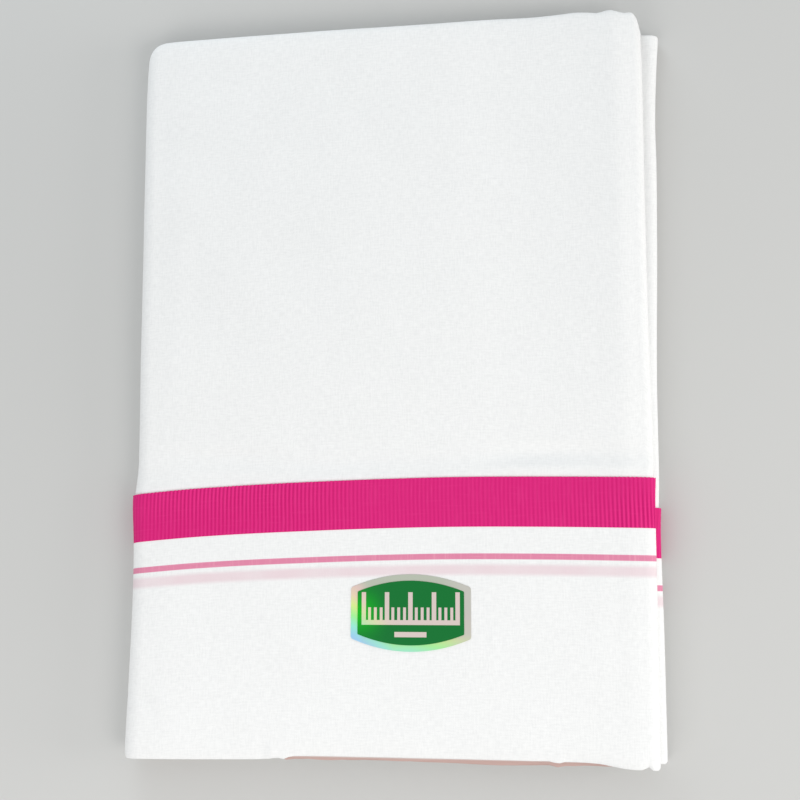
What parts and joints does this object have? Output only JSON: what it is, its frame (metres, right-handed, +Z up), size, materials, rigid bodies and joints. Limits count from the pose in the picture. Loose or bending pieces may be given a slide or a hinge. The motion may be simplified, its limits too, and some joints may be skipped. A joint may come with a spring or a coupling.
{
  "type": "folded dhoti cloth",
  "caption": "White cotton dhoti folded flat into a pack, with layered edges, a turned-up ribbed magenta border and a plain green and silver label.",
  "frame": {"origin": "bottom centre of the folded pack, on the surface that it lies on", "axes": "+X across the pack, from its book fold towards its nested folds; +Y along it, from the turned-up border's bottom fold towards the top fold; +Z up, out of the face"},
  "size_m": [0.2614, 0.3613, 0.0197],
  "materials": {
    "cloth": "plain woven bleached cotton, matt, lightly starched",
    "hidden_plies": "plain woven bleached cotton, folded edges",
    "band": "magenta warp-ribbed border, slight sheen",
    "foil": "silver holographic foil film",
    "label": "green printed film"
  },
  "bodies": {
    "root": {"hidden_plies": "hidden_plies", "face_cloth": "cloth", "face_turned_up": "cloth", "face_band": "band", "back_cloth": "cloth", "back_turned_up": "cloth", "back_band": "band", "label_foil": "foil", "label_field": "label"}
  },
  "joints": []
}
